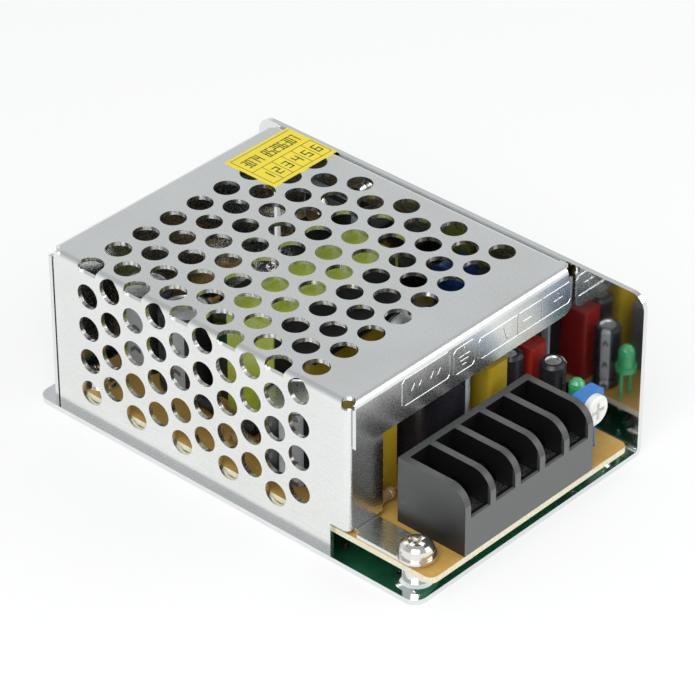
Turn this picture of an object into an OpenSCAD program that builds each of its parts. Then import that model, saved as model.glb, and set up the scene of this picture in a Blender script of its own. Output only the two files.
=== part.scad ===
// Mesh case switching power supply, millimetres, +Z up, terminal end facing -Y.

/* [Case] */
// Width from the cover's left wall to the base's right wall
case_width = 57.9; // [56:0.1:75]
// Height of the closed case
case_height = 33; // [32:0.5:45]
// Length of the base plate
base_length = 90; // [89:0.5:110]
// Front edge of the base to the front lip of the cover
lip_y = 15.4; // [15:0.1:16]
// Rear panel to the rear end of the base plate
rear_ledge = 3.5; // [2:0.1:8]
// How far the base plate shows beyond the cover's left wall
left_reveal = 1.2; // [0.2:0.1:2]
// How far the board stands out in front of the base plate
board_overhang = 1.4; // [0.6:0.1:2]
// Thickness of the base sheet
base_sheet = 1; // [0.8:0.1:1.5]
// Thickness of the cover sheet
cover_sheet = 0.8; // [0.5:0.1:1]
// Outside radius of the cover's folds
fold_radius = 1.2; // [1:0.1:2]
// Height of the cover's front lip
lip_drop = 9.4; // [6:0.1:10]
// Height of the cover's flange inside the right wall
side_flange = 7; // [5:0.5:8]
// Reach of the inward flange at the front of the left wall
front_flange = 8.7; // [8:0.1:8.8]

/* [Mesh] */
// Diameter of the ventilation holes
mesh_hole = 4.8; // [3:0.1:5]
// Distance between holes in a row
mesh_pitch = 6.75; // [6.4:0.05:6.8]
// Distance between rows
mesh_row = 5.52; // [5.3:0.01:5.6]
// Number of rows
mesh_rows = 10; // [6:1:10]

/* [Board] */
// Thickness of the circuit board
board_thick = 1.2; // [1:0.1:1.6]
// Height of the drawn bosses above the base plate
boss_height = 3.3; // [3.2:0.1:4.5]
// Outside diameter of the bosses
boss_diameter = 5.4; // [5:0.1:6]
// Diameter of the tapped holes
tap_hole = 2.5; // [2.4:0.05:2.6]
// Diameter of the screw shanks
shank = 2.4; // [2.2:0.05:2.4]
// Diameter of the screw heads
head_diameter = 6; // [5.4:0.1:6.2]

/* [Terminals] */
// Distance between terminals
terminal_pitch = 6.35; // [6.2:0.05:6.4]
// Thickness of the terminal partitions
partition = 1.4; // [1.2:0.05:1.5]
// Height of the terminal partitions
partition_height = 13.2; // [12:0.1:13.6]
// Depth of the terminal block
block_depth = 14.9; // [14.6:0.1:15]
// Travel of each pressure plate
clamp_travel = 2; // [1:0.1:2.5]

/* [Hidden] */
$fn = 64;
e = 0.01;
terminals = 5;
cover_end = base_length - rear_ledge;
body_left = -left_reveal;
seal_thick = 0.12;
body_right = case_width + seal_thick;
centre_x = (body_left + body_right) / 2;
centre_y = (base_length - board_overhang) / 2;
wall_in = case_width - base_sheet;
top_in = case_height - cover_sheet;
board_left = 1;
board_right = case_width - 5.4;
board_rear = cover_end - 3;
board_low = base_sheet + boss_height;
board_top = board_low + board_thick;
lead_low = board_low - 1.2;
flange_y = lip_y + 0.9;
wall_cut = 4;
hole_r = 1.65;
tab_hole = [3.8, 4.3];
tab_right = 7.5;
bosses = [tab_hole, [board_right - 3.2, 4.5], [4.8, cover_end - 7], [board_right - 3.2, cover_end - 7]];
screwed = [bosses[0], bosses[2], bosses[3]];
mount_y = [17, 72];
mount_x = centre_x;
cover_screw_y = [36, cover_end - 23];
cover_screw_z = case_height - 4.3;
device_y = [27, cover_end - 14.5];
device_z = board_top + 15.5;
block_x = 9.3;
block_w = terminals * terminal_pitch + partition;
cell = terminal_pitch - partition;
block_top = board_top + partition_height;
plate_top = board_top + 7;
screw_y = 7 - board_overhang;
contact_y = block_depth - board_overhang - 2.35;
leg_in = 6;
tr_x = 28.4;
tr_y = cover_end - 36.2;
tr_top = board_top + 23.1;
trim_x = block_x + block_w + 3.6;
trim_z = board_top + 9.4;

// positions of the wire leads that pass through the board
bulk_at = [[14.8, cover_end - 18.5], [15.2, cover_end - 8.2]];
input_at = [9.2, 36.6];
stripe_at = [28.8, 24.3];
output_at = [[44.7, 19], [45.8, 31.4]];
small_at = [board_right - 3.1, 13.4];
choke_at = [27.5, cover_end - 14];
inductor_at = [47.5, 40];
bridge_at = [38.7, cover_end - 19.3];
chip_at = [39.7, cover_end - 10.3];
opto_at = [48.3, cover_end - 26.2];
disc_at = [[46.4, cover_end - 36.5], [50.2, cover_end - 36.5]];
resistor_at = [[11.4, 18.5, 0], [7.4, 47, 90], [7.4, 56, 90], [32.6, cover_end - 5.5, 0]];
diode_at = [[11, 50, 90], [11, 59, 90]];
pin_x = [-10, -5, 5, 10];
leads = concat(
  [for (c = bulk_at, s = [-2.5, 2.5]) [c[0], c[1] + s]],
  [for (s = [-2.5, 2.5]) [input_at[0], input_at[1] + s]],
  [for (s = [-3.75, 3.75]) [stripe_at[0] + s, stripe_at[1]]],
  [for (s = [-1, 1]) [output_at[0][0], output_at[0][1] + s]],
  [for (s = [-1.75, 1.75]) [output_at[1][0], output_at[1][1] + s]],
  [for (s = [-1, 1]) [small_at[0], small_at[1] + s]],
  [for (s = [-3, 3]) [choke_at[0] + s, choke_at[1]]],
  [for (s = [-2.5, 2.5]) [inductor_at[0], inductor_at[1] + s]],
  [for (sx = [-2.5, 2.5], sy = [-3.8, 3.8]) [bridge_at[0] + sx, bridge_at[1] + sy]],
  [for (sx = [-3.81, -1.27, 1.27, 3.81], sy = [-3.8, 3.8]) [chip_at[0] + sx, chip_at[1] + sy]],
  [for (sx = [-1.27, 1.27], sy = [-3.8, 3.8]) [opto_at[0] + sx, opto_at[1] + sy]],
  [for (c = disc_at, s = [-2.5, 2.5]) [c[0], c[1] + s]],
  [for (c = resistor_at, s = [-3.4, 3.4]) [c[0] + s * cos(c[2]), c[1] + s * sin(c[2])]],
  [for (c = diode_at, s = [-3.4, 3.4]) [c[0] + s * cos(c[2]), c[1] + s * sin(c[2])]],
  [for (s = pin_x, t = [-9.6, 9.6]) [tr_x + s, tr_y + t]],
  [for (s = [-2.5, 2.5]) [23.7 + s, cover_end - 21.8]],
  [for (s = [-2.5, 2.5]) [5.5, 24.3 + s]],
  [for (s = [-3.5, 3.5]) [12.6, 24.8 + s]],
  [for (s = [-3.5, 3.5]) [39.1, 22.4 + s]],
  [for (s = [-2, 2]) [49.5, 19.9 + s]],
  [for (y = device_y, s = [-2.54, 0, 2.54]) [wall_in - leg_in, y + s]],
  [for (s = [-1.27, 1.27]) [board_right - 2.4 + s, 8.5]],
  [for (s = [-2.2, 2.2]) [trim_x + s, 3.2]]
);

function mesh_f(row, k) = 1.1 + (k + (row % 2) / 2) * mesh_pitch;
function mesh_y(row) = cover_end - 9.5 - row * mesh_row;
function cell_x(i) = block_x + partition / 2 + (i - 0.5) * terminal_pitch;

module case_frame() {
  translate([-centre_x, -centre_y, 0]) children();
}

module box(x0, x1, y0, y1, z0, z1) {
  translate([x0, y0, z0]) cube([x1 - x0, y1 - y0, z1 - z0]);
}

module rod(x, y, z0, z1, r) {
  translate([x, y, z0]) cylinder(r = r, h = z1 - z0);
}

module round_rect(x0, x1, y0, y1, r) {
  translate([x0 + r, y0]) square([x1 - x0 - 2 * r, y1 - y0]);
  translate([x0, y0 + r]) square([x1 - x0, y1 - y0 - 2 * r]);
  for (x = [x0 + r, x1 - r], y = [y0 + r, y1 - r]) translate([x, y]) circle(r);
}

module quarter(r, t, sx, sy) {
  intersection() {
    difference() {
      circle(r);
      circle(r - t);
    }
    translate([sx > 0 ? 0 : -r - 1, sy > 0 ? 0 : -r - 1]) square(r + 1);
  }
}

module lead_pins(points, z1) {
  for (p = points) rod(p[0], p[1], lead_low, z1, 0.35);
}

module along_y(y0, y1) {
  translate([0, y1, 0]) rotate([90, 0, 0]) linear_extrude(y1 - y0) children();
}

module along_x(x0, x1) {
  translate([x0, 0, 0]) rotate([90, 0, 90]) linear_extrude(x1 - x0) children();
}

module cross_cut(z, w, d, len) {
  translate([-len / 2, -w / 2, z - d]) cube([len, w, d + 1]);
  translate([-w / 2, -len / 2, z - d]) cube([w, len, d + 1]);
}

module pan_head(r, h) {
  rotate_extrude() polygon([[0, 0], [r - 0.15, 0], [r, 0.2], [r, h * 0.45], [r * 0.93, h * 0.72],
    [r * 0.75, h * 0.92], [r * 0.5, h], [0, h]]);
}

module can(r, h) {
  rotate_extrude() polygon([[0, 0.3], [r - 1, 0.3], [r - 1, 0], [r - 0.25, 0], [r, 0.35], [r, 1.3],
    [r - 0.3, 1.7], [r - 0.3, 2.1], [r, 2.5], [r, h - 0.6], [r - 0.4, h], [r - 1, h],
    [r - 1.15, h - 0.25], [0, h - 0.25]]);
}

module base_profile() {
  r = base_sheet + 0.6;
  translate([body_left, 0]) square([case_width - r - body_left, base_sheet]);
  translate([case_width - r, r]) quarter(r, base_sheet, 1, -1);
  translate([wall_in, r]) square([base_sheet, case_height - r]);
}

module drawn_boss(h) {
  r = boss_diameter / 2;
  rotate_extrude() polygon([[tap_hole / 2, h], [tap_hole / 2, h - 2], [r - 0.8, h - 2.3],
    [r - 0.8, base_sheet - 0.4], [r - 0.1, 0], [r + 1.1, 0], [r + 1.1, base_sheet],
    [r + 0.35, base_sheet + 0.35], [r, base_sheet + 1], [r, h - 0.15], [r - 0.15, h]]);
}

module base_chassis() {
  color("silver") case_frame() difference() {
    union() {
      difference() {
        along_y(0, base_length) base_profile();
        for (y = [0, base_length]) translate([body_left, y, -1]) difference() {
          translate([-1, -2.5, 0]) cube([3.5, 5, 3]);
          translate([2.5, y > 1 ? -2.5 : 2.5, -1]) cylinder(r = 2.5, h = 5);
        }
        for (y = [0, base_length]) translate([wall_in - 1, y, case_height]) difference() {
          translate([0, -3, -3]) cube([3, 6, 4]);
          translate([-1, y > 1 ? -3 : 3, -3]) rotate([0, 90, 0]) cylinder(r = 3, h = 5);
        }
        for (b = bosses) rod(b[0], b[1], -1, 3, boss_diameter / 2 + 1);
        for (y = mount_y) rod(mount_x, y, -1, 3, 2.6);
      }
      for (b = bosses) translate([b[0], b[1], 0]) drawn_boss(board_low);
      for (y = mount_y) translate([mount_x, y, 0]) rotate_extrude()
        polygon([[tap_hole / 2, 0.2], [tap_hole / 2 + 0.2, 0], [2.7, 0], [2.7, base_sheet],
          [2.3, base_sheet + 0.4], [2.1, base_sheet + 1.6], [tap_hole / 2, base_sheet + 1.6]]);
    }
    for (x = [15.9, 41.9]) box(x - 0.1, x + 8.1, cover_end - cover_sheet - 0.1, cover_end + 0.1, -1, 3);
    for (y = cover_screw_y) translate([wall_in - 0.1, y, cover_screw_z]) rotate([0, 90, 0])
      cylinder(r1 = 1.65, r2 = 2.75, h = base_sheet + 0.2);
    for (y = device_y) translate([wall_in - 0.1, y, device_z]) rotate([0, 90, 0])
      cylinder(r1 = 1.65, r2 = 2.75, h = base_sheet + 0.2);
  }
}

module cover_profile() {
  r = fold_radius;
  translate([r, top_in]) square([wall_in - 2 * r, cover_sheet]);
  translate([r, case_height - r]) quarter(r, cover_sheet, -1, 1);
  translate([wall_in - r, case_height - r]) quarter(r, cover_sheet, 1, 1);
  translate([0, base_sheet]) square([cover_sheet, case_height - r - base_sheet]);
  translate([wall_in - cover_sheet, case_height - side_flange]) square([cover_sheet, side_flange - r]);
}

module end_profile(front) {
  r = fold_radius;
  translate([r, -cover_sheet]) square([front ? 1.6 : 1.2, cover_sheet]);
  translate([r, -r]) quarter(r, cover_sheet, -1, 1);
  translate([0, front ? -lip_drop : base_sheet - case_height])
    square([cover_sheet, front ? lip_drop - r : case_height - base_sheet - r]);
}

module mesh_holes() {
  for (row = [0:mesh_rows - 1]) {
    y = mesh_y(row);
    for (k = [0:7]) rod(mesh_f(row, k), y, top_in - 0.6, case_height + 1, mesh_hole / 2);
    for (k = [-4:-1]) translate([-1, y, case_height - 0.4 + mesh_f(row, k)]) rotate([0, 90, 0])
      cylinder(r = mesh_hole / 2, h = 2);
    if (row % 2 == 0) translate([-1, y, case_height + 1.1]) rotate([0, 90, 0])
      cylinder(r = mesh_hole / 2, h = 2);
  }
}

module foot_tab() {
  y1 = flange_y + cover_sheet;
  difference() {
    box(1.1, tab_right, tab_hole[1] + 1.6, y1 - fold_radius, board_top, board_top + cover_sheet);
    rod(tab_hole[0], tab_hole[1], 0, case_height, hole_r);
  }
  difference() {
    union() {
      box(1.1 + 2.6, tab_right - 2.6, tab_hole[1] - 2.6, tab_hole[1] + 1.7, board_top, board_top + cover_sheet);
      box(1.1, tab_right, tab_hole[1], tab_hole[1] + 1.7, board_top, board_top + cover_sheet);
      for (x = [1.1 + 2.6, tab_right - 2.6])
        rod(x, tab_hole[1], board_top, board_top + cover_sheet, 2.6);
    }
    rod(tab_hole[0], tab_hole[1], 0, case_height, hole_r);
  }
  along_x(1.1, tab_right) translate([y1 - fold_radius, board_top + fold_radius])
    quarter(fold_radius, cover_sheet, 1, -1);
}

module mesh_cover() {
  r = fold_radius;
  color("gainsboro") case_frame() difference() {
    union() {
      along_y(flange_y + r, cover_end - r - 0.1) cover_profile();
      difference() {
        along_x(1, wall_in - 0.4) translate([lip_y, case_height]) end_profile(true);
        translate([wall_in - 2.4, lip_y - 1, case_height - lip_drop + 2]) difference() {
          translate([0, 0, -3]) cube([3, 3, 3]);
          translate([0, -1, 0]) rotate([-90, 0, 0]) cylinder(r = 2, h = 5);
        }
      }
      translate([0, cover_end, case_height]) mirror([0, 1, 0]) along_x(0.1, wall_in - cover_sheet)
        end_profile(false);
      for (x = [16, 42]) box(x, x + 7.8, cover_end - cover_sheet, cover_end, 0.2, base_sheet + e);
      translate([0, 0, board_top + r]) linear_extrude(case_height - 2 * r - 0.4 - board_top) {
        translate([r, flange_y + r]) quarter(r, cover_sheet, -1, -1);
        translate([r, flange_y]) square([front_flange - r, cover_sheet]);
      }
      foot_tab();
      for (y = cover_screw_y) translate([wall_in - cover_sheet - 1, y, cover_screw_z])
        rotate([0, 90, 0]) cylinder(r = 2.1, h = 1.2);
    }
    mesh_holes();
    rod(0.9, flange_y + 0.6, top_in - 0.9, case_height + 1, 1.2);
    rod(wall_in - 0.7, lip_y + 0.3, top_in - 1.4, case_height + 1, 0.9);
    rod(0.8, cover_end - 0.8, top_in - 0.9, case_height + 1, 1);
    rod(wall_in - 0.8, cover_end - 0.8, top_in - 0.9, case_height + 1, 1);
    box(-1, r + 0.8, flange_y - 1, flange_y + wall_cut, -1, board_top + 1.2);
    for (y = cover_screw_y) translate([wall_in - 4, y, cover_screw_z]) rotate([0, 90, 0])
      cylinder(r = tap_hole / 2, h = 6);
  }
}

module seal_sticker() {
  x0 = case_width - 17.3;
  y0 = cover_end - 15.7;
  color("gold") case_frame() {
    box(x0, body_right, y0, y0 + 12.2, case_height, case_height + seal_thick);
    box(case_width, body_right, y0, y0 + 12.2, case_height - 5, case_height + e);
  }
}

module screw_washers() {
  color("lightgray") case_frame() for (i = [0:2])
    translate([screwed[i][0], screwed[i][1], board_top + (i == 0 ? cover_sheet : 0)]) difference() {
      cylinder(r = head_diameter / 2 + 0.4, h = 0.5);
      translate([0, 0, -1]) cylinder(r = 1.6, h = 3);
    }
}

module board_screws() {
  color("silver") case_frame() for (i = [0:2])
    translate([screwed[i][0], screwed[i][1], board_top + 0.5 + (i == 0 ? cover_sheet : 0)]) difference() {
      union() {
        pan_head(head_diameter / 2, 2.3);
        translate([0, 0, -5]) cylinder(r = shank / 2, h = 5 + e);
      }
      cross_cut(2.3, 0.9, 1.2, 3.2);
    }
}

module flat_screw(len) {
  difference() {
    union() {
      rotate([0, 90, 0]) cylinder(r1 = 1.6, r2 = 2.6, h = base_sheet);
      translate([-len, 0, 0]) rotate([0, 90, 0]) cylinder(r = shank / 2, h = len + e);
    }
    for (a = [0, 90]) rotate([a, 0, 0]) translate([base_sheet - 0.7, -1.5, -0.4]) cube([2, 3, 0.8]);
  }
}

module cover_screws() {
  color("silver") case_frame() for (y = cover_screw_y) translate([wall_in, y, cover_screw_z]) flat_screw(3);
}

module device_screws() {
  color("silver") case_frame() for (y = device_y) translate([wall_in, y, device_z]) flat_screw(4.6);
}

module device_nuts() {
  color("silver") case_frame() for (y = device_y) translate([wall_in - 4, y, device_z])
    rotate([0, 90, 0]) difference() {
      cylinder(r = 3.1, h = 2.4, $fn = 6);
      translate([0, 0, -1]) cylinder(r = tap_hole / 2, h = 5);
    }
}

module insulating_pads() {
  color("lightblue") case_frame() for (y = device_y) difference() {
    box(wall_in - 0.3, wall_in, y - 6.5, y + 6.5, device_z - 13, device_z + 3.8);
    translate([wall_in - 2, y, device_z]) rotate([0, 90, 0]) cylinder(r = 1.6, h = 4);
  }
}

module circuit_board() {
  color("peru") case_frame() difference() {
    translate([0, 0, board_low]) linear_extrude(board_thick)
      round_rect(board_left, board_right, -board_overhang, board_rear, 1.5);
    for (b = screwed) rod(b[0], b[1], 0, 20, hole_r);
    for (p = leads) rod(p[0], p[1], 0, 20, 0.5);
    for (i = [1:terminals]) rod(cell_x(i), contact_y + 0.4, 0, 20, 0.75);
  }
}

module terminal_block() {
  y0 = -board_overhang;
  y1 = y0 + block_depth;
  color("dimgray") case_frame() difference() {
    union() {
      box(block_x, block_x + block_w, y0, y1, board_top, plate_top - 0.8);
      box(block_x, block_x + block_w, y0, y0 + 1.2, board_top, plate_top + 0.3);
      box(block_x, block_x + block_w, y1 - 1.4, y1, board_top, block_top);
      for (i = [0:terminals]) along_x(block_x + i * terminal_pitch, block_x + i * terminal_pitch + partition) {
        translate([y0, board_top]) square([block_depth, partition_height - 4]);
        translate([y0 + 4, board_top]) square([block_depth - 4, partition_height]);
        translate([y0 + 4, block_top - 4]) circle(4);
      }
    }
    for (i = [1:terminals]) {
      rod(cell_x(i), screw_y, board_top + 1.5, plate_top, 1.8);
      box(cell_x(i) - 0.6, cell_x(i) + 0.6, contact_y - 0.1, contact_y + 0.9, 0, plate_top);
    }
  }
}

module terminal_contacts() {
  color("silver") case_frame() for (i = [1:terminals]) difference() {
    union() {
      box(cell_x(i) - cell / 2 + 0.1, cell_x(i) + cell / 2 - 0.1, 1.4 - board_overhang, contact_y + 0.8, plate_top - 0.8, plate_top);
      box(cell_x(i) - 0.5, cell_x(i) + 0.5, contact_y, contact_y + 0.8, lead_low, plate_top - 0.4);
    }
    rod(cell_x(i), screw_y, 0, 30, 1.5);
  }
}

module terminal_clamp(i) {
  color("darkgray") case_frame() difference() {
    box(cell_x(i) - cell / 2 + 0.12, cell_x(i) + cell / 2 - 0.12, screw_y - 2.8, screw_y + 2.8, plate_top, plate_top + 1);
    rod(cell_x(i), screw_y, 0, 30, 1.5);
  }
}

module terminal_clamp_1() {
  terminal_clamp(1);
}

module terminal_clamp_2() {
  terminal_clamp(2);
}

module terminal_clamp_3() {
  terminal_clamp(3);
}

module terminal_clamp_4() {
  terminal_clamp(4);
}

module terminal_clamp_5() {
  terminal_clamp(5);
}

module terminal_screw(i) {
  color("gray") case_frame() translate([cell_x(i), screw_y, plate_top + 1]) difference() {
    union() {
      pan_head(cell / 2 - 0.1, 2.1);
      translate([0, 0, -3.4 - clamp_travel]) cylinder(r = 1.45, h = 3.4 + clamp_travel + e);
    }
    cross_cut(2.1, 0.8, 1.1, 3);
  }
}

module terminal_screw_1() {
  terminal_screw(1);
}

module terminal_screw_2() {
  terminal_screw(2);
}

module terminal_screw_3() {
  terminal_screw(3);
}

module terminal_screw_4() {
  terminal_screw(4);
}

module terminal_screw_5() {
  terminal_screw(5);
}

module transformer_core() {
  z0 = board_top + 2;
  mid = (z0 + tr_top) / 2;
  color("#2a2a2c") case_frame() for (s = [0, 1]) {
    za = s == 0 ? z0 : mid + 0.02;
    zb = s == 0 ? mid - 0.02 : tr_top;
    difference() {
      box(tr_x - 15.6, tr_x + 15.6, tr_y - 5.2, tr_y + 5.2, za, zb);
      for (d = [-1, 1]) box(tr_x + d * 7.6 - 3.2, tr_x + d * 7.6 + 3.2, tr_y - 6, tr_y + 6, z0 + 4.8, tr_top - 4.8);
    }
  }
}

module transformer_tape() {
  color("yellowgreen") case_frame() difference() {
    box(tr_x - 15.9, tr_x + 15.9, tr_y - 5.5, tr_y + 5.5, board_top + 1.7, tr_top + 0.3);
    box(tr_x - 15.6, tr_x + 15.6, tr_y - 6, tr_y + 6, board_top + 2, tr_top);
  }
}

module transformer_bobbin() {
  za = board_top + 7;
  zb = tr_top - 5;
  color("#202024") case_frame() difference() {
    union() {
      box(tr_x - 5.6, tr_x + 5.6, tr_y - 6.4, tr_y + 6.4, za, zb);
      for (z = [za, zb - 1.2]) translate([0, 0, z]) linear_extrude(1.2) {
        translate([tr_x - 10.5, tr_y - 12]) square([21, 24]);
        for (d = [-1, 1]) translate([tr_x - 12.7, tr_y + (d < 0 ? -12 : 5.8)]) square([25.4, 6.2]);
      }
      for (d = [-1, 1]) box(tr_x - 12.7, tr_x + 12.7, tr_y + (d < 0 ? -12 : 6), tr_y + (d < 0 ? -6 : 12), board_top, za + e);
    }
    box(tr_x - 4.6, tr_x + 4.6, tr_y - 5.4, tr_y + 5.4, 0, case_height);
    for (p = pin_x, t = [-9.6, 9.6]) rod(tr_x + p, tr_y + t, 0, board_top + 3, 0.45);
  }
}

module ring_shape(x, y, r, wall) {
  difference() {
    round_rect(tr_x - x, tr_x + x, tr_y - y, tr_y + y, r);
    round_rect(tr_x - x + wall, tr_x + x - wall, tr_y - y + wall, tr_y + y - wall, r - wall);
  }
}

module transformer_winding() {
  color("sienna") case_frame() translate([0, 0, board_top + 8.3]) linear_extrude(tr_top - board_top - 14.6)
    difference() {
      round_rect(tr_x - 9.9, tr_x + 9.9, tr_y - 10.9, tr_y + 10.9, 4.5);
      translate([tr_x - 5.7, tr_y - 6.5]) square([11.4, 13]);
    }
}

module winding_wrap() {
  color("goldenrod") case_frame() translate([0, 0, board_top + 8.3]) linear_extrude(tr_top - board_top - 14.6)
    ring_shape(10.3, 11.3, 4.9, 0.35);
}

module transformer_pins() {
  color("silver") case_frame() for (p = pin_x, t = [-9.6, 9.6])
    rod(tr_x + p, tr_y + t, lead_low, board_top + 3, 0.4);
}

module radial_can(c, r, h, s, turn) {
  translate([c[0], c[1], board_top]) can(r, h);
  for (d = [-s, s]) rod(c[0] + (turn ? 0 : d), c[1] + (turn ? d : 0), lead_low, board_top + 1, 0.35);
}

module striped_capacitor() {
  color("#15151a") case_frame() radial_can(stripe_at, 7.4, 24.4, 3.75, false);
}

module output_capacitors() {
  color("#18181c") case_frame() {
    radial_can(output_at[0], 2.3, 14, 1, true);
    radial_can(output_at[1], 4, 14, 1.75, true);
  }
}

module small_capacitor() {
  color("#303038") case_frame() radial_can(small_at, 2.4, 12.4, 1, true);
}

module bulk_capacitors() {
  color("#141418") case_frame() for (c = bulk_at) radial_can(c, 4.95, 16, 2.5, true);
}

module input_capacitor() {
  color("#141418") case_frame() radial_can(input_at, 6.1, 14.7, 2.5, true);
}

module film_box(x0, x1, y0, y1, h, points) {
  translate([0, 0, board_top]) linear_extrude(h) round_rect(x0, x1, y0, y1, 0.7);
  lead_pins(points, board_top + 1);
}

module x_capacitor() {
  color("gold") case_frame() film_box(8.3, 16.9, 20.1, 29.5, 16.5, [for (s = [-3.5, 3.5]) [12.6, 24.8 + s]]);
}

module slim_capacitor() {
  color("gold") case_frame() film_box(36.6, 41.6, 16.8, 28, 15.4, [for (s = [-3.5, 3.5]) [39.1, 22.4 + s]]);
}

module red_capacitor() {
  color("firebrick") case_frame() film_box(47.3, 51.7, 16.6, 23.2, 14, [for (s = [-2, 2]) [49.5, 19.9 + s]]);
}

module fuse() {
  color("saddlebrown") case_frame() film_box(3.5, 7.5, 20.1, 28.5, 8, [for (s = [-2.5, 2.5]) [5.5, 24.3 + s]]);
}

module thermistor() {
  y = cover_end - 21.8;
  color("darkgreen") case_frame() {
    translate([23.7, y + 1.3, board_top + 5.2]) rotate([90, 0, 0]) cylinder(r = 3.5, h = 2.6);
    lead_pins([for (s = [-2.5, 2.5]) [23.7 + s, y]], board_top + 4);
  }
}

module filter_choke() {
  color("olivedrab") case_frame() {
    translate([choke_at[0], choke_at[1], board_top + 4]) rotate_extrude() translate([4, 0]) circle(r = 2);
    translate([choke_at[0], choke_at[1], board_top]) difference() {
      cylinder(r = 5.2, h = 3);
      translate([0, 0, 1]) cylinder(r = 1.8, h = 3);
    }
    lead_pins([for (s = [-3, 3]) [choke_at[0] + s, choke_at[1]]], board_top + 3);
  }
}

module leg_row(c, xs, half) {
  for (x = xs, d = [-1, 1]) {
    box(c[0] + x - 0.25, c[0] + x + 0.25, c[1] + d * 3.8 - 0.2, c[1] + d * 3.8 + 0.2, lead_low, board_top + 2.2);
    box(c[0] + x - 0.25, c[0] + x + 0.25, c[1] + (d < 0 ? -4 : half - 0.2), c[1] + (d < 0 ? -half + 0.2 : 4),
      board_top + 1.9, board_top + 2.2);
  }
}

module chip_body(c, w, d, h) {
  box(c[0] - w / 2, c[0] + w / 2, c[1] - d / 2, c[1] + d / 2, board_top + 0.4, board_top + 0.4 + h);
}

module bridge_rectifier() {
  color("#1c1c20") case_frame() {
    chip_body(bridge_at, 8.4, 6.4, 3);
    leg_row(bridge_at, [-2.5, 2.5], 3.2);
  }
}

module controller_chip() {
  color("#1c1c20") case_frame() difference() {
    union() {
      chip_body(chip_at, 9.4, 6.4, 3.3);
      leg_row(chip_at, [-3.81, -1.27, 1.27, 3.81], 3.2);
    }
    rod(chip_at[0] - 4.7, chip_at[1], board_top + 3.2, board_top + 6, 0.8);
  }
}

module optocoupler() {
  color("#26262a") case_frame() {
    chip_body(opto_at, 4.6, 6.4, 3.3);
    leg_row(opto_at, [-1.27, 1.27], 3.2);
  }
}

module power_device(y) {
  x1 = wall_in - 0.3;
  difference() {
    box(x1 - 1.3, x1, y - 5, y + 5, device_z - 12.5, device_z + 3);
    translate([x1 - 3, y, device_z]) rotate([0, 90, 0]) cylinder(r = 1.7, h = 6);
  }
  box(x1 - 4.5, x1 - 1.2, y - 5, y + 5, device_z - 12.5, device_z - 3.5);
  for (s = [-2.54, 0, 2.54]) {
    box(x1 - 2.9, x1 - 2.4, y + s - 0.35, y + s + 0.35, device_z - 13.7, device_z - 12);
    box(wall_in - leg_in - 0.25, x1 - 2.4, y + s - 0.35, y + s + 0.35, device_z - 14, device_z - 13.5);
    box(wall_in - leg_in - 0.25, wall_in - leg_in + 0.25, y + s - 0.35, y + s + 0.35, lead_low, device_z - 13.5);
  }
}

module switch_transistor() {
  color("#222226") case_frame() power_device(device_y[1]);
}

module output_rectifier() {
  color("#222226") case_frame() power_device(device_y[0]);
}

module blue_capacitors() {
  color("royalblue") case_frame() for (c = disc_at) {
    translate([c[0] - 1.3, c[1], board_top + 5.5]) rotate([0, 90, 0]) cylinder(r = 3.8, h = 2.6);
    lead_pins([for (s = [-2.5, 2.5]) [c[0], c[1] + s]], board_top + 4);
  }
}

module output_inductor() {
  color("#3a3230") case_frame() {
    translate([inductor_at[0], inductor_at[1], board_top]) rotate_extrude()
      polygon([[0, 0], [4, 0], [4, 1.4], [3.4, 1.6], [3.4, 8.4], [4, 8.6], [4, 10], [0, 10]]);
    lead_pins([for (s = [-2.5, 2.5]) [inductor_at[0], inductor_at[1] + s]], board_top + 1);
  }
}

module axial(c, r, len) {
  z = board_top + 0.3 + r;
  translate([c[0], c[1], 0]) rotate([0, 0, c[2]]) {
    translate([-len / 2, 0, z]) rotate([0, 90, 0]) rotate_extrude()
      polygon([[0, 0], [r * 0.8, 0], [r, 0.3], [r, 1], [r * 0.85, 1.25], [r * 0.85, len - 1.25], [r, len - 1],
        [r, len - 0.3], [r * 0.8, len], [0, len]]);
    translate([-3.4, 0, z]) rotate([0, 90, 0]) cylinder(r = 0.3, h = 6.8);
    for (s = [-3.4, 3.4]) rod(s, 0, lead_low, z + 0.3, 0.3);
  }
}

module lead_resistors() {
  color("tan") case_frame() for (c = resistor_at) axial(c, 1.15, 4.4);
}

module signal_diodes() {
  color("#202020") case_frame() for (c = diode_at) axial(c, 1.3, 4.8);
}

module trimmer_body() {
  color("royalblue") case_frame() difference() {
    union() {
      along_y(2, 4.2) round_rect(trim_x - 3.2, trim_x + 3.2, trim_z - 3.4, trim_z + 3.2, 1.2);
      for (s = [-2.2, 2.2]) rod(trim_x + s, 3.2, board_low + 0.1, trim_z - 2, 0.35);
    }
    translate([trim_x, 0, trim_z]) rotate([-90, 0, 0]) cylinder(r = 0.85, h = 8);
  }
}

module trimmer_rotor() {
  color("ivory") case_frame() translate([trim_x, 0, trim_z]) rotate([-90, 0, 0]) difference() {
    rotate_extrude() polygon([[0, 0.5], [2.5, 0.5], [2.85, 0.8], [2.85, 1.95], [0.8, 1.95], [0.8, 4.3],
      [1.3, 4.3], [1.3, 4.7], [0, 4.7]]);
    translate([-1.7, -0.4, 0]) cube([3.4, 0.8, 1.3]);
    translate([-0.4, -1.7, 0]) cube([0.8, 3.4, 1.3]);
  }
}

module indicator_lamp() {
  color("mediumseagreen") case_frame() {
    translate([board_right - 2.4, 8.5, board_top + 5.5]) rotate_extrude()
      polygon([[0, 0], [1.9, 0], [1.9, 0.9], [1.5, 0.9], [1.5, 3.6], [1.3, 4.3], [0.8, 4.8], [0, 5]]);
    lead_pins([for (s = [-1.27, 1.27]) [board_right - 2.4 + s, 8.5]], board_top + 6);
  }
}

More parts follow.
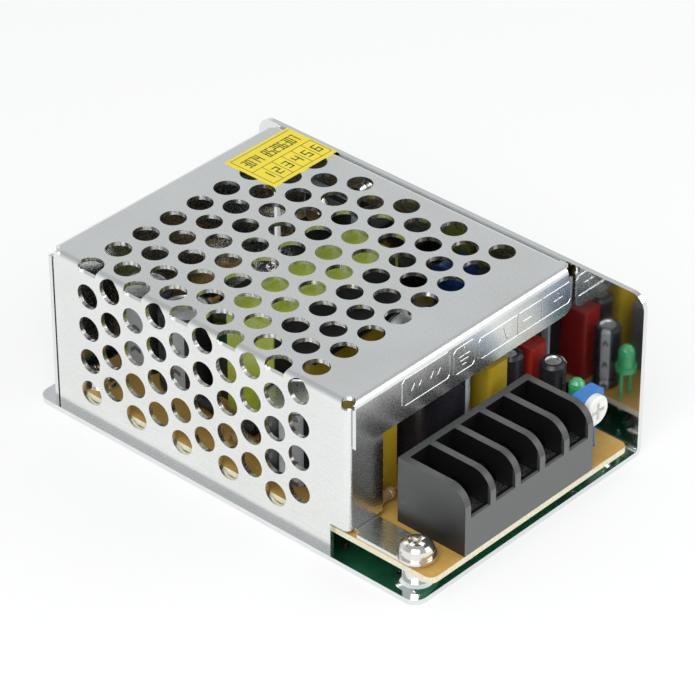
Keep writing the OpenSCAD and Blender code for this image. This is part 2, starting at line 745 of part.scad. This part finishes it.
base_chassis();
mesh_cover();
seal_sticker();
board_screws();
screw_washers();
cover_screws();
device_screws();
device_nuts();
insulating_pads();
circuit_board();
terminal_block();
terminal_contacts();
terminal_clamp_1();
terminal_clamp_2();
terminal_clamp_3();
terminal_clamp_4();
terminal_clamp_5();
terminal_screw_1();
terminal_screw_2();
terminal_screw_3();
terminal_screw_4();
terminal_screw_5();
transformer_core();
transformer_tape();
transformer_bobbin();
transformer_winding();
winding_wrap();
transformer_pins();
striped_capacitor();
output_capacitors();
small_capacitor();
bulk_capacitors();
input_capacitor();
x_capacitor();
slim_capacitor();
red_capacitor();
fuse();
thermistor();
filter_choke();
bridge_rectifier();
switch_transistor();
output_rectifier();
controller_chip();
optocoupler();
blue_capacitors();
output_inductor();
lead_resistors();
signal_diodes();
trimmer_body();
trimmer_rotor();
indicator_lamp();
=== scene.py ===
import math

import bpy
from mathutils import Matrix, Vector


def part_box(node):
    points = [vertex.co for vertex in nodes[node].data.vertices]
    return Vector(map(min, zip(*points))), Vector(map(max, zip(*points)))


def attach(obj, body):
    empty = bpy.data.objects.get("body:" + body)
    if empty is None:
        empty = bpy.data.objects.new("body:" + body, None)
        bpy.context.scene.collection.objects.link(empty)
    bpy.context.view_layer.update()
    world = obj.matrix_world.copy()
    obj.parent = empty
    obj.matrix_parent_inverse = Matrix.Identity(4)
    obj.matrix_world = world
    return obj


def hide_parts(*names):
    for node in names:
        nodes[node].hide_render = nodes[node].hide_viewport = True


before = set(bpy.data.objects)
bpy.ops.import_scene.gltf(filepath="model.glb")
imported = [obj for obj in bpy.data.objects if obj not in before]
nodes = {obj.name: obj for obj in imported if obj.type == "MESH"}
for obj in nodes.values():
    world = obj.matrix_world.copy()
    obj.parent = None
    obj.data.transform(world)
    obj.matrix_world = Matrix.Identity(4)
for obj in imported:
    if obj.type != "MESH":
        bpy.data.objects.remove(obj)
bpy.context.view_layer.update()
MM = 0.001

# places of the case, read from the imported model
cov_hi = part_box("mesh_cover")[1]
seal_lo, seal_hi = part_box("seal_sticker")
pcb_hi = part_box("circuit_board")[1]
blk_lo, blk_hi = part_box("terminal_block")


# ---------------------------------------------------------------- materials
class Graph:
    """Short calls for a material's node tree."""

    def __init__(self, name):
        self.mat = bpy.data.materials.new(name)
        self.mat.use_nodes = True
        self.t = self.mat.node_tree
        self.t.nodes.clear()
        self.out = self.t.nodes.new("ShaderNodeOutputMaterial")
        self.bsdf = self.t.nodes.new("ShaderNodeBsdfPrincipled")
        self.t.links.new(self.bsdf.outputs[0], self.out.inputs[0])
        self.coord = self.t.nodes.new("ShaderNodeTexCoord").outputs["Object"]

    def put(self, socket, value):
        s = self.bsdf.inputs[socket]
        if hasattr(value, "is_linked"):
            self.t.links.new(value, s)
        else:
            s.default_value = value

    def node(self, kind, ins=None, **props):
        n = self.t.nodes.new(kind)
        for k, v in props.items():
            setattr(n, k, v)
        for k, v in (ins or {}).items():
            s = n.inputs[k]
            if hasattr(v, "is_linked"):
                self.t.links.new(v, s)
            else:
                s.default_value = v
        return n

    def scaled(self, scale):
        return self.node("ShaderNodeMapping", {0: self.coord, 3: scale}).outputs[0]

    def noise(self, scale, detail=4.0, rough=0.6, stretch=(1, 1, 1)):
        return self.node("ShaderNodeTexNoise", {"Vector": self.scaled(stretch), "Scale": scale,
                                                "Detail": detail, "Roughness": rough}).outputs[0]

    def math(self, op, a, b=0.0):
        n = self.node("ShaderNodeMath", operation=op)
        for i, v in enumerate((a, b)):
            if hasattr(v, "is_linked"):
                self.t.links.new(v, n.inputs[i])
            else:
                n.inputs[i].default_value = v
        return n.outputs[0]

    def ramp(self, value, lo, hi, a=0.0, b=1.0):
        n = self.node("ShaderNodeMapRange", {0: value, 1: lo, 2: hi, 3: a, 4: b})
        n.clamp = True
        return n.outputs[0]

    def mix(self, fac, a, b):
        n = self.node("ShaderNodeMix", data_type="RGBA")
        for i, v in ((0, fac), (6, a), (7, b)):
            if hasattr(v, "is_linked"):
                self.t.links.new(v, n.inputs[i])
            else:
                n.inputs[i].default_value = v if i == 0 else (*v[:3], 1)
        return n.outputs[2]

    def bump(self, height, strength=0.3, distance=0.0001, into=None):
        ins = {"Height": height, "Strength": strength, "Distance": distance}
        if into is not None:
            ins["Normal"] = into
        return self.node("ShaderNodeBump", ins).outputs[0]

    def xyz(self):
        n = self.node("ShaderNodeSeparateXYZ", {0: self.coord})
        return n.outputs[0], n.outputs[1], n.outputs[2]

    def normal(self):
        g = self.node("ShaderNodeNewGeometry")
        n = self.node("ShaderNodeSeparateXYZ", {0: g.outputs["Normal"]})
        return n.outputs[0], n.outputs[1], n.outputs[2]


def tone(c, k):
    return tuple(min(1, max(0, x * k)) for x in c[:3])


def plain(name, colour, rough=0.5, metal=0.0, var=0.12, scale=350, grain=2500,
          bump=0.15, depth=0.00004, stretch=(1, 1, 1), coat=0.0, rough_var=0.1):
    """A surface with broad mottling, fine grain and a bump."""
    g = Graph(name)
    broad = g.noise(scale, 3, 0.6, stretch)
    fine = g.noise(grain, 5, 0.7, stretch)
    col = g.mix(g.ramp(broad, 0.3, 0.7), tone(colour, 1 - var), tone(colour, 1 + var))
    col = g.mix(g.ramp(fine, 0.35, 0.75, 0, 0.35), col, tone(colour, 1 - 1.5 * var))
    g.put("Base Color", col)
    g.put("Roughness", g.ramp(fine, 0.3, 0.7, max(0.02, rough - rough_var), min(1, rough + rough_var)))
    g.put("Metallic", metal)
    if coat:
        g.put("Coat Weight", coat)
        g.put("Coat Roughness", 0.12)
    g.put("Normal", g.bump(fine, bump, depth))
    return g.mat


def paint(node, mat):
    o = nodes[node]
    o.data.materials.clear()
    o.data.materials.append(mat)


def cover_metal():
    g = Graph("cover_metal")
    grain = g.noise(900, 6, 0.7, (4, 0.12, 4))
    cloud = g.noise(60, 3, 0.5)
    col = g.mix(g.ramp(cloud, 0.3, 0.7), (0.80, 0.81, 0.79), (0.87, 0.88, 0.87))
    g.put("Base Color", g.mix(g.ramp(grain, 0.3, 0.8, 0, 0.25), col, (0.68, 0.69, 0.67)))
    g.put("Metallic", 1.0)
    g.put("Roughness", g.ramp(grain, 0.3, 0.7, 0.2, 0.32))
    g.put("Normal", g.bump(grain, 0.05, 0.00002))
    return g.mat


def mirror_metal():
    g = Graph("mirror_metal")
    wave = g.noise(45, 2, 0.5)
    fine = g.noise(1500, 4, 0.6, (3, 0.2, 3))
    g.put("Base Color", g.mix(g.ramp(fine, 0.4, 0.8), (0.82, 0.83, 0.83), (0.74, 0.75, 0.76)))
    g.put("Metallic", 1.0)
    g.put("Roughness", g.ramp(fine, 0.3, 0.7, 0.05, 0.13))
    g.put("Normal", g.bump(wave, 0.12, 0.0004))
    return g.mat


def board_mat():
    g = Graph("board_laminate")
    nx, ny, nz = g.normal()
    broad = g.noise(160, 4, 0.6)
    fibre = g.noise(1400, 5, 0.7, (1, 3, 1))
    top = g.mix(g.ramp(broad, 0.3, 0.7), (0.50, 0.29, 0.06), (0.62, 0.38, 0.10))
    top = g.mix(g.ramp(fibre, 0.4, 0.8, 0, 0.35), top, (0.34, 0.19, 0.05))
    edge = g.mix(g.ramp(fibre, 0.35, 0.7), (0.80, 0.76, 0.58), (0.62, 0.56, 0.38))
    under = g.mix(g.ramp(broad, 0.35, 0.65), (0.015, 0.16, 0.07), (0.03, 0.24, 0.11))
    col = g.mix(g.math("GREATER_THAN", nz, 0.5), edge, top)
    col = g.mix(g.math("LESS_THAN", nz, -0.5), col, under)
    g.put("Base Color", col)
    g.put("Roughness", g.ramp(fibre, 0.3, 0.7, 0.35, 0.6))
    g.put("Normal", g.bump(fibre, 0.12, 0.00003))
    return g.mat


SLEEVE = (0.012, 0.012, 0.016)


def can_mat(name, cans, turn, stripe_col, width):
    """A shrunk sleeve whose marked stripe faces `turn`, and a bare aluminium top.

    cans holds the centre, radius and top of each can; width is the stripe's angle.
    """
    g = Graph(name)
    x, y, z = g.xyz()
    fine = g.noise(1600, 4, 0.6)
    col = g.mix(g.ramp(g.noise(220, 3), 0.3, 0.7), SLEEVE, tone(SLEEVE, 1.9))
    metal = None
    for cx, cy, r, zt in cans:
        dx, dy = g.math("SUBTRACT", x, cx), g.math("SUBTRACT", y, cy)
        rr = g.math("SQRT", g.math("ADD", g.math("MULTIPLY", dx, dx), g.math("MULTIPLY", dy, dy)))
        near = g.math("LESS_THAN", rr, r + 0.0004)
        ang = g.math("ARCTAN2", dy, dx)
        off = g.math("SUBTRACT", ang, turn)
        turns = g.math("ROUND", g.math("DIVIDE", off, 2 * math.pi))
        off = g.math("ABSOLUTE", g.math("SUBTRACT", off, g.math("MULTIPLY", turns, 2 * math.pi)))
        band = g.math("MULTIPLY", g.math("LESS_THAN", off, width / 2), near)
        band = g.math("MULTIPLY", band, g.math("GREATER_THAN", rr, r - 0.0006))
        # chevrons down the stripe
        step = g.math("FRACT", g.math("ADD", g.math("DIVIDE", z, 0.0045), g.math("MULTIPLY", off, 0.9)))
        thin = g.math("LESS_THAN", g.math("ABSOLUTE", g.math("SUBTRACT", step, 0.5)), 0.10)
        mark = g.math("MULTIPLY", thin, g.math("LESS_THAN", off, width * 0.28))
        col = g.mix(band, col, g.mix(mark, stripe_col, tone(stripe_col, 0.25)))
        bare = g.math("MULTIPLY", g.math("LESS_THAN", rr, r - 0.00095),
                      g.math("GREATER_THAN", z, zt - 0.0006))
        metal = bare if metal is None else g.math("MAXIMUM", metal, bare)
    col = g.mix(metal, col, (0.75, 0.76, 0.77))
    low = g.math("LESS_THAN", z, pcb_hi.z)
    metal = g.math("MAXIMUM", metal, low)
    col = g.mix(low, col, (0.72, 0.70, 0.66))
    g.put("Base Color", col)
    g.put("Metallic", metal)
    g.put("Roughness", g.ramp(fine, 0.3, 0.7, 0.24, 0.38))
    g.put("Normal", g.bump(fine, 0.08, 0.00003))
    return g.mat


M_cover = cover_metal()
M_mirror = mirror_metal()
M_stamp = plain("stamped_line", (0.90, 0.91, 0.90), 0.3, 1.0, 0.05, 400, 3000, 0.1)
M_screw = plain("screw_nickel", (0.82, 0.80, 0.76), 0.16, 1.0, 0.08, 500, 3500, 0.08, 0.00002, rough_var=0.07)
M_dark_steel = plain("terminal_steel", (0.07, 0.066, 0.06), 0.34, 1.0, 0.2, 600, 3000, 0.2, rough_var=0.1)
M_tin = plain("tin", (0.70, 0.69, 0.66), 0.28, 1.0, 0.12, 700, 3000, 0.2)


def block_mat():
    """Satin plastic with painted light and shade: the faces that catch the light get a lighter painted tone, the
    -X side face a painted shade gradient, the tops a deeper painted tone, and the cells between the partitions
    painted shade.
    """
    g = Graph("block_plastic")
    nx, ny, nz = g.normal()
    x, y, z = g.xyz()
    fine = g.noise(2600, 5, 0.7)
    # painted shade: the cells between the partitions, below the partition tops, are painted near black
    between = g.math("MULTIPLY", g.math("GREATER_THAN", x, blk_lo.x + 0.0005),
                     g.math("LESS_THAN", x, blk_hi.x - 0.0005))
    cell_shade_region = g.math("MULTIPLY", g.math("GREATER_THAN", y, blk_lo.y + 0.0006), between)
    top_painted_tone = g.math("MULTIPLY", g.math("GREATER_THAN", nz, 0.2), g.math("GREATER_THAN", z, blk_hi.z - 0.0045))
    painted_cell_shade = g.math("MULTIPLY", cell_shade_region, g.math("SUBTRACT", 1.0, top_painted_tone))
    # painted light: a lighter tone on the lit faces, and on the -X side face a painted shade that darkens towards
    # its bottom and front
    lit_face_tone = g.mix(g.ramp(fine, 0.3, 0.7), (0.098, 0.104, 0.102), (0.122, 0.128, 0.126))
    side_shade_ramp = g.ramp(g.math("ADD", z, g.math("MULTIPLY", y, 0.3)), blk_lo.z - 0.01, blk_hi.z - 0.008)
    side_face_painted_shade = g.mix(side_shade_ramp, (0.014, 0.015, 0.015), (0.075, 0.08, 0.08))
    col = g.mix(g.math("LESS_THAN", nx, -0.5), lit_face_tone, side_face_painted_shade)
    # painted shade: the upward tops get a deeper tone than the lit faces
    col = g.mix(top_painted_tone, col, (0.06, 0.062, 0.062))
    g.put("Base Color", g.mix(painted_cell_shade, col, (0.006, 0.006, 0.006)))
    g.put("Roughness", g.ramp(fine, 0.3, 0.7, 0.36, 0.5))
    # the painted cell shade also lowers the specular level there
    g.put("Specular IOR Level", g.math("SUBTRACT", 0.5, g.math("MULTIPLY", painted_cell_shade, 0.35)))
    g.put("Normal", g.bump(fine, 0.25, 0.00004))
    return g.mat


M_block = block_mat()
M_board = board_mat()
M_ferrite = plain("ferrite", (0.028, 0.028, 0.03), 0.5, 0.0, 0.3, 500, 3000, 0.35)
M_lime = plain("lime_tape", (0.40, 0.48, 0.05), 0.28, 0, 0.15, 180, 1500, 0.25, 0.00006, coat=0.4)
M_amber = plain("amber_tape", (0.46, 0.33, 0.03), 0.3, 0, 0.22, 160, 1200, 0.3, 0.00008, coat=0.3)
M_black = plain("black_plastic", (0.018, 0.018, 0.02), 0.38, 0, 0.3, 300, 2500, 0.2)
M_epoxy = plain("black_epoxy", (0.016, 0.016, 0.018), 0.5, 0, 0.3, 500, 4000, 0.35)
M_copper = plain("copper_wire", (0.42, 0.15, 0.05), 0.28, 0.7, 0.2, 300, 3000, 0.3, stretch=(0.2, 0.2, 6))
M_yellow = plain("yellow_case", (0.52, 0.36, 0.02), 0.42, 0, 0.12, 200, 2600, 0.25)
M_red = plain("red_case", (0.36, 0.02, 0.015), 0.35, 0, 0.15, 200, 2500, 0.2)
M_fuse = plain("fuse_case", (0.10, 0.05, 0.03), 0.5, 0, 0.15, 300, 2500, 0.2)
M_green_disc = plain("green_disc", (0.03, 0.12, 0.06), 0.3, 0, 0.25, 400, 2500, 0.25, coat=0.3)
M_blue_disc = plain("blue_disc", (0.03, 0.11, 0.42), 0.26, 0, 0.2, 400, 2500, 0.2, coat=0.4)
M_choke = plain("choke", (0.20, 0.24, 0.06), 0.35, 0, 0.3, 500, 1500, 0.6, 0.0002)
M_pad = plain("thermal_pad", (0.42, 0.50, 0.56), 0.7, 0, 0.1, 300, 2000, 0.3)
M_blue = plain("blue_plastic", (0.03, 0.19, 0.55), 0.4, 0, 0.12, 300, 2500, 0.2)
M_white = plain("white_plastic", (0.80, 0.80, 0.76), 0.45, 0, 0.05, 300, 2500, 0.2)
M_lamp = plain("green_lens", (0.05, 0.42, 0.16), 0.15, 0, 0.1, 300, 2500, 0.05, coat=0.5)
M_seal = plain("seal_film", (0.86, 0.70, 0.03), 0.38, 0, 0.06, 120, 1800, 0.15, 0.00003)
M_ink = plain("seal_ink", (0.10, 0.11, 0.03), 0.5, 0, 0.2, 300, 2500, 0.1)
M_resistor = plain("resistor", (0.42, 0.26, 0.12), 0.35, 0, 0.2, 900, 2500, 0.2, coat=0.4)

for n, m in {
    "base_chassis": M_mirror, "mesh_cover": M_cover, "board_screws": M_screw, "screw_washers": M_screw,
    "cover_screws": M_screw, "device_screws": M_screw, "device_nuts": M_screw, "insulating_pads": M_pad,
    "circuit_board": M_board, "terminal_block": M_block, "terminal_contacts": M_tin, "transformer_core": M_ferrite,
    "transformer_tape": M_lime, "transformer_bobbin": M_black, "transformer_winding": M_copper,
    "winding_wrap": M_amber, "transformer_pins": M_tin, "x_capacitor": M_yellow, "slim_capacitor": M_yellow,
    "red_capacitor": M_red, "fuse": M_fuse, "thermistor": M_green_disc, "filter_choke": M_choke,
    "bridge_rectifier": M_epoxy, "switch_transistor": M_epoxy, "output_rectifier": M_epoxy,
    "controller_chip": M_epoxy, "optocoupler": M_epoxy, "blue_capacitors": M_blue_disc,
    "output_inductor": M_ferrite, "lead_resistors": M_resistor, "signal_diodes": M_epoxy,
    "trimmer_body": M_blue, "trimmer_rotor": M_white, "indicator_lamp": M_lamp, "seal_sticker": M_seal,
}.items():
    paint(n, m)
for i in range(1, 6):
    paint("terminal_clamp_%d" % i, M_dark_steel)
    paint("terminal_screw_%d" % i, M_dark_steel)


BULK_R, OUT_SMALL_R, OUT_LARGE_R = 0.00495, 0.0024, 0.004
CAN_STRIPE = (0.40, 0.42, 0.44)


def cans_of(node):
    """Centre, radius and top of each can in a node."""
    lo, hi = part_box(node)
    if node == "bulk_capacitors":
        return [(lo.x + BULK_R, lo.y + BULK_R, BULK_R, hi.z), (hi.x - BULK_R, hi.y - BULK_R, BULK_R, hi.z)]
    if node == "output_capacitors":
        return [(lo.x + OUT_SMALL_R, lo.y + OUT_SMALL_R, OUT_SMALL_R, hi.z - 0.0006),
                (hi.x - OUT_LARGE_R, hi.y - OUT_LARGE_R, OUT_LARGE_R, hi.z)]
    c = (lo + hi) / 2
    return [(c.x, c.y, (hi.x - lo.x) / 2, hi.z)]


paint("striped_capacitor", can_mat("striped_can", cans_of("striped_capacitor"), math.radians(-52),
                                   (0.42, 0.52, 0.60), 0.85))
for node, facing in (("small_capacitor", -30), ("input_capacitor", 215), ("bulk_capacitors", 200),
                     ("output_capacitors", 20)):
    paint(node, can_mat(node + "_sleeve", cans_of(node), math.radians(facing), CAN_STRIPE, 0.7))

# ---------------------------------------------------------------- print and stamping
def piece(name, verts, faces, mat, body="case"):
    me = bpy.data.meshes.new(name)
    me.from_pydata(verts, [], faces)
    me.materials.append(mat)
    o = bpy.data.objects.new(name, me)
    bpy.context.scene.collection.objects.link(o)
    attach(o, body)
    return o


# the seal: a thin film over the cover's top that folds down its right wall
film = 0.0001
top_z, wall_x = cov_hi.z, cov_hi.x
section = [(seal_lo.x, top_z), (wall_x, top_z), (wall_x, seal_lo.z), (wall_x + film, seal_lo.z),
           (wall_x + film, top_z + film), (seal_lo.x, top_z + film)]
n_sec = len(section)
verts = [(x, y, z) for y in (seal_lo.y, seal_hi.y) for x, z in section]
faces = [tuple(range(n_sec)), tuple(range(2 * n_sec - 1, n_sec - 1, -1))]
faces += [(i, i + n_sec, (i + 1) % n_sec + n_sec, (i + 1) % n_sec) for i in range(n_sec)]
seal = piece("seal_film_sheet", verts, faces, M_seal)
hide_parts("seal_sticker")

# plain numbers and ruled lines printed on it
DIGITS = ("abcdef", "bc", "abged", "abgcd", "fgbc", "afgcd", "afgedc", "abc", "abcdefg", "abcdfg")
BARS = {"a": (0, 1, 1, 1), "b": (1, 0.5, 1, 1), "c": (1, 0, 1, 0.5), "d": (0, 0, 1, 0), "e": (0, 0, 0, 0.5),
        "f": (0, 0.5, 0, 1), "g": (0, 0.5, 1, 0.5)}
ink_v, ink_f = [], []
ink_z = top_z + film + 0.00001


def ink(x0, y0, x1, y1):
    k = len(ink_v)
    ink_v.extend([(x0, y0, ink_z), (x1, y0, ink_z), (x1, y1, ink_z), (x0, y1, ink_z)])
    ink_f.append((k, k + 1, k + 2, k + 3))


def digit(n, x, y, w, h, t):
    for b in DIGITS[n]:
        u0, v0, u1, v1 = BARS[b]
        ink(x + u0 * w - t / 2, y + v0 * h - t / 2, x + u1 * w + t / 2, y + v1 * h + t / 2)


line = 0.00014
ix0, ix1, iy0, iy1 = seal_lo.x + 0.0008, wall_x - 0.0003, seal_lo.y + 0.0009, seal_hi.y - 0.0007
mid_y = iy0 + (iy1 - iy0) * 0.5
for yy in (iy0, mid_y, iy1):
    ink(ix0, yy - line / 2, ix1, yy + line / 2)
ink(ix0 - line / 2, iy0, ix0 + line / 2, iy1)
step = (ix1 - ix0) / 6
for k in range(6):
    ink(ix0 + (k + 1) * step - line / 2, iy0, ix0 + (k + 1) * step + line / 2, mid_y)
    digit(k + 1, ix0 + (k + 0.5) * step - 0.0005, iy0 + (mid_y - iy0) * 0.28, 0.001, 0.0021, 0.0003)
places = 13
gap_place = 4
pitch = (ix1 - ix0 - 0.0016) / places
row_h = iy1 - mid_y
for k in range(places):
    if k != gap_place:
        digit((k * 7 + 3) % 10, ix0 + 0.001 + k * pitch, mid_y + row_h * 0.26, pitch * 0.55,
              row_h * 0.45, 0.00026)
piece("seal_print", ink_v, ink_f, M_ink)

# stamped frames and general signs on the front lip
lip = -0.0289  # the lip's face, 15.4 mm behind the base's front edge
lip_v, lip_f = [], []


def stroke(x0, z0, x1, z1, t=0.00022):
    """A raised bar on the lip's face between two points."""
    a, b = Vector((x0, z0)) * MM, Vector((x1, z1)) * MM
    d = (b - a).normalized() * t / 2
    n = Vector((-d.y, d.x))
    k = len(lip_v)
    for p in (a - d - n, b + d - n, b + d + n, a - d + n):
        lip_v.append((p.x, lip + 0.00002, p.y))
        lip_v.append((p.x, lip - 0.00006, p.y))
    lip_f.append((k + 1, k + 3, k + 5, k + 7))
    for i in range(0, 8, 2):
        lip_f.append((k + i, k + i + 1, k + (i + 3) % 8, k + (i + 2) % 8))


def framed(x0, x1, z0, z1, r=0.6):
    """A rounded frame of raised bars, in mm."""
    pts = [(x0 + r, z0), (x1 - r, z0), (x1, z0 + r), (x1, z1 - r),
           (x1 - r, z1), (x0 + r, z1), (x0, z1 - r), (x0, z0 + r)]
    for p, q in zip(pts, pts[1:] + pts[:1]):
        stroke(*p, *q)


FRAMES = [(-15.96, -4.0, 26.19, 31.56), (-2.98, 2.41, 25.8, 30.95), (3.44, 27.75, 25.82, 30.1)]
for f in FRAMES:
    framed(*f)
(a0, a1, a2, a3), (b0, b1, b2, b3), (c0, c1, c2, c3) = FRAMES
WAVE = ((-1.2, -0.4), (-0.5, 0.6), (0.5, -0.6), (1.2, 0.4))
for k in (0.3, 0.7):
    xm, zm = a0 + (a1 - a0) * k, (a2 + a3) / 2
    for p, q in zip(WAVE, WAVE[1:]):
        stroke(xm + p[0], zm + p[1], xm + q[0], zm + q[1])
xm, zm = (b0 + b1) / 2, (b2 + b3) / 2
stroke(xm, zm + 2, xm, zm + 0.5)
for k, w in ((0.5, 1.3), (-0.4, 0.9), (-1.3, 0.4)):
    stroke(xm - w, zm + k, xm + w, zm + k)
zm = (c2 + c3) / 2
for k, sign in ((0.3, "v"), (0.52, "-"), (0.86, "+")):
    xm = c0 + (c1 - c0) * k
    if sign == "v":
        stroke(xm - 0.8, zm + 1.2, xm, zm - 1.2)
        stroke(xm, zm - 1.2, xm + 0.8, zm + 1.2)
    else:
        stroke(xm - 1.1, zm, xm + 1.1, zm)
    if sign == "+":
        stroke(xm, zm - 1.1, xm, zm + 1.1)
for k in (0.42, 0.68):
    stroke(c0 + (c1 - c0) * k, c2, c0 + (c1 - c0) * k, c3)
piece("lip_stamping", lip_v, lip_f, M_stamp)

# ---------------------------------------------------------------- stage
floor = bpy.data.meshes.new("floor")
floor.from_pydata([(-3, -3, 0), (3, -3, 0), (3, 3, 0), (-3, 3, 0)], [], [(0, 1, 2, 3)])
floor_o = bpy.data.objects.new("floor", floor)
bpy.context.scene.collection.objects.link(floor_o)
floor_o.location.z = -0.0001
g = Graph("floor_white")
g.put("Base Color", (0.93, 0.93, 0.93, 1))
g.put("Roughness", 0.9)
path = g.node("ShaderNodeLightPath")
seen = g.math("MAXIMUM", path.outputs["Is Camera Ray"], g.math("MULTIPLY", path.outputs["Is Glossy Ray"], 0.9))
glow = g.node("ShaderNodeEmission", {"Color": (1, 1, 1, 1), "Strength": 1.0})
both = g.node("ShaderNodeMixShader", {0: g.math("MULTIPLY", seen, 0.6), 1: g.bsdf.outputs[0], 2: glow.outputs[0]})
g.t.links.new(both.outputs[0], g.out.inputs[0])
floor.materials.append(g.mat)

world = bpy.data.worlds.new("studio")
bpy.context.scene.world = world
world.use_nodes = True
wt = world.node_tree
wt.nodes.clear()
wo = wt.nodes.new("ShaderNodeOutputWorld")
lp = wt.nodes.new("ShaderNodeLightPath")
tc = wt.nodes.new("ShaderNodeTexCoord")
sep = wt.nodes.new("ShaderNodeSeparateXYZ")
wt.links.new(tc.outputs["Generated"], sep.inputs[0])
rng = wt.nodes.new("ShaderNodeMapRange")
for i, v in ((1, 0.05), (2, 0.75), (3, 1.0), (4, 0.50)):
    rng.inputs[i].default_value = v
wt.links.new(sep.outputs[2], rng.inputs[0])
b1 = wt.nodes.new("ShaderNodeBackground")
b1.inputs["Color"].default_value = (0.96, 0.98, 1.0, 1)
wt.links.new(rng.outputs[0], b1.inputs["Strength"])
b2 = wt.nodes.new("ShaderNodeBackground")
b2.inputs["Color"].default_value = (1, 1, 1, 1)
b2.inputs["Strength"].default_value = 1.0
mixw = wt.nodes.new("ShaderNodeMixShader")
wt.links.new(lp.outputs["Is Camera Ray"], mixw.inputs[0])
wt.links.new(b1.outputs[0], mixw.inputs[1])
wt.links.new(b2.outputs[0], mixw.inputs[2])
wt.links.new(mixw.outputs[0], wo.inputs[0])


def area(name, where, aim, size, watts, colour=(1, 1, 1)):
    d = bpy.data.lights.new(name, "AREA")
    d.energy = watts
    d.color = colour
    d.shape = "RECTANGLE"
    d.size, d.size_y = size
    o = bpy.data.objects.new(name, d)
    bpy.context.scene.collection.objects.link(o)
    o.location = where
    o.rotation_mode = "QUATERNION"
    o.rotation_quaternion = (Vector(aim) - Vector(where)).to_track_quat("-Z", "Y")
    return o


area("key", (-0.45, -0.25, 0.55), (0, 0, 0.01), (0.5, 0.5), 3.2)
area("fill", (0.45, -0.45, 0.4), (0, 0, 0.01), (0.5, 0.4), 1.4)

cam_data = bpy.data.cameras.new("camera")
cam = bpy.data.objects.new("camera", cam_data)
bpy.context.scene.collection.objects.link(cam)
cam_data.lens = 201.4
cam_data.sensor_width = 36
cam_data.clip_start, cam_data.clip_end = 0.01, 10
cam.rotation_mode = "QUATERNION"
cam.location = (-0.41112, -0.377, 0.397542)
cam.rotation_quaternion = (0.808572, 0.427524, -0.188283, -0.357749)
bpy.context.scene.camera = cam
bpy.context.scene.view_settings.view_transform = "Standard"
